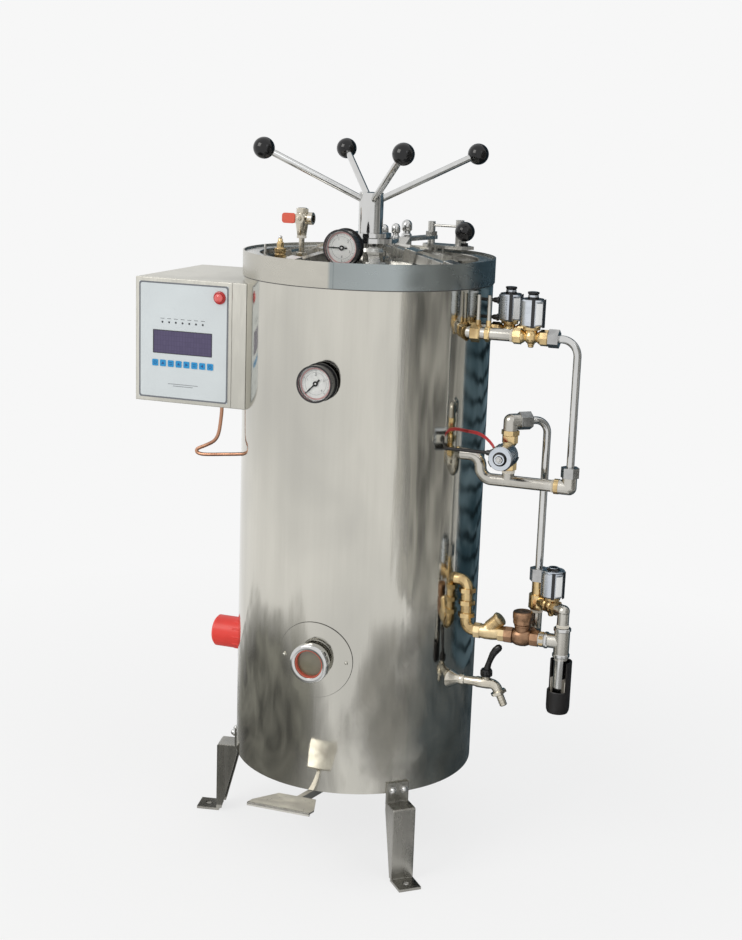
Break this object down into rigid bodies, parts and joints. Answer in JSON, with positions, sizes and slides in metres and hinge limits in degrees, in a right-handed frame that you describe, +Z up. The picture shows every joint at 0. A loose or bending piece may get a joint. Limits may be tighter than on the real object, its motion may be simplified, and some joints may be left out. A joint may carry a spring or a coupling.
{
  "type": "vertical autoclave",
  "caption": "upright jacketed steam vessel on legs with a radial-bar locking lid, pedal lid lift, control box, gauges and outside steam plumbing",
  "frame": {"origin": "on the vessel's axis at floor level, at the centre of the circle of foot holes", "axes": "+Z up, -Y to the front with the gauge, sight glass and control panel, +X to the plumbing side"},
  "size_m": [0.837, 0.6747, 1.3015],
  "materials": {
    "stainless": "brushed stainless steel",
    "polished": "polished stainless steel",
    "brass": "cast and machined brass",
    "bronze": "dull bronze",
    "copper": "bare copper",
    "satin_steel": "satin stainless sheet",
    "film": "printed polyester film, plain",
    "screen": "dark screen",
    "red_plastic": "red plastic",
    "black_plastic": "glossy black plastic",
    "black_metal": "black enamel",
    "coil_shell": "grey painted coil case",
    "white_dial": "white dial face",
    "glass": "clear glass",
    "rubber_red": "red silicone rubber",
    "rubber_black": "black rubber",
    "wool": "mineral wool",
    "board": "green circuit board",
    "dark_steel": "dark steel"
  },
  "bodies": {
    "machine": {"jacket": "polished", "top_band": "stainless", "vessel": "stainless", "vessel_ring": "stainless", "insulation": "wool", "base_plate": "stainless", "legs": "stainless", "leg_bolts": "stainless", "heaters": "dark_steel", "heater_cap": "red_plastic", "basket_stand": "stainless", "sight_plate": "polished", "sight_ring": "stainless", "sight_glass": "glass", "sight_gasket": "rubber_red", "jacket_gauge": "black_metal", "jacket_gauge_dial": "white_dial", "jacket_gauge_glass": "glass", "box_shell": "satin_steel", "control_board": "board", "copper_tube": "copper", "pipework": "stainless", "brass_fittings": "brass", "solenoid_bodies": "brass", "solenoid_coils": "coil_shell", "coil_leads": "rubber_black", "union_nuts": "stainless", "steam_tube": "polished", "drain_tube": "polished", "strainer": "brass", "check_valve": "bronze", "outlet_boot": "rubber_black", "drain_tap": "stainless", "lid_gasket": "rubber_red"},
    "lid": {"lid": "stainless", "lift_arm": "stainless", "arm_knob": "black_plastic", "ball_valve": "stainless", "safety_valve": "brass", "relief_valves": "stainless", "lid_gauge": "black_metal", "lid_gauge_dial": "white_dial", "lid_gauge_glass": "glass"},
    "handle": {"handle": "polished", "handle_knobs": "black_plastic"},
    "pedal": {"pedal": "stainless"},
    "door": {"box_door": "satin_steel", "panel_film": "film", "display": "screen", "alarm_lamp": "red_plastic"},
    "tap_lever": {"tap_lever": "black_plastic"},
    "valve_lever": {"valve_lever": "red_plastic"},
    "jacket_needle": {"jacket_gauge_needle": "black_metal"},
    "lid_needle": {"lid_gauge_needle": "black_metal"},
    "bar_1": {"lock_bar_1": "stainless"},
    "bar_2": {"lock_bar_2": "stainless"},
    "bar_3": {"lock_bar_3": "stainless"},
    "bar_4": {"lock_bar_4": "stainless"},
    "bar_5": {"lock_bar_5": "stainless"},
    "bar_6": {"lock_bar_6": "stainless"}
  },
  "joints": [
    {"name": "lid_lift", "type": "slide", "parent": "machine", "child": "lid", "axis": [0, 0, 1], "range_m": [0, 0.1027]},
    {"name": "pedal_press", "type": "hinge", "parent": "machine", "child": "pedal", "pos_m": [0.02, -0.06, 0.115], "axis": [1, 0, 0], "range_deg": [0, 22]},
    {"name": "handle_turn", "type": "hinge", "parent": "lid", "child": "handle", "pos_m": [0, 0, 1.13], "axis": [0, 0, -1], "range_deg": [0, 75]},
    {"name": "bar_1_slide", "type": "slide", "parent": "lid", "child": "bar_1", "axis": [0.3807, -0.8969, -0.225], "range_m": [0, 0.02]},
    {"name": "bar_2_slide", "type": "slide", "parent": "lid", "child": "bar_2", "axis": [0.9671, -0.1187, -0.225], "range_m": [0, 0.02]},
    {"name": "bar_3_slide", "type": "slide", "parent": "lid", "child": "bar_3", "axis": [0.5864, 0.7782, -0.225], "range_m": [0, 0.02]},
    {"name": "bar_4_slide", "type": "slide", "parent": "lid", "child": "bar_4", "axis": [-0.3807, 0.8969, -0.225], "range_m": [0, 0.02]},
    {"name": "bar_5_slide", "type": "slide", "parent": "lid", "child": "bar_5", "axis": [-0.9671, 0.1187, -0.225], "range_m": [0, 0.02]},
    {"name": "bar_6_slide", "type": "slide", "parent": "lid", "child": "bar_6", "axis": [-0.5864, -0.7782, -0.225], "range_m": [0, 0.02]},
    {"name": "door_swing", "type": "hinge", "parent": "machine", "child": "door", "pos_m": [-0.4035, -0.12, 0.93], "axis": [0, 0, -1], "range_deg": [0, 110]},
    {"name": "tap_turn", "type": "hinge", "parent": "machine", "child": "tap_lever", "pos_m": [0.276, -0.074, 0.37], "axis": [0, 0, 1], "range_deg": [0, 90]},
    {"name": "cock_turn", "type": "hinge", "parent": "lid", "child": "valve_lever", "pos_m": [-0.12438, -0.03714, 1.159], "axis": [0, 1, 0], "range_deg": [0, 90]},
    {"name": "jacket_needle_turn", "type": "hinge", "parent": "machine", "child": "jacket_needle", "pos_m": [0, -0.2545, 0.901], "axis": [0, 1, 0], "range_deg": [0, 270], "stiffness_Nm_per_rad": 0.000002},
    {"name": "lid_needle_turn", "type": "hinge", "parent": "lid", "child": "lid_needle", "pos_m": [-0.00314, -0.13846, 1.12], "axis": [0.0227, 0.9997, 0], "range_deg": [0, 270], "stiffness_Nm_per_rad": 0.000002}
  ],
  "couplings": [
    {"joint": "pedal_press", "follows": "lid_lift", "rad_per_m": 3.7363},
    {"joint": "bar_1_slide", "follows": "handle_turn", "m_per_rad": 0.015279},
    {"joint": "bar_2_slide", "follows": "handle_turn", "m_per_rad": 0.015279},
    {"joint": "bar_3_slide", "follows": "handle_turn", "m_per_rad": 0.015279},
    {"joint": "bar_4_slide", "follows": "handle_turn", "m_per_rad": 0.015279},
    {"joint": "bar_5_slide", "follows": "handle_turn", "m_per_rad": 0.015279},
    {"joint": "bar_6_slide", "follows": "handle_turn", "m_per_rad": 0.015279}
  ]
}
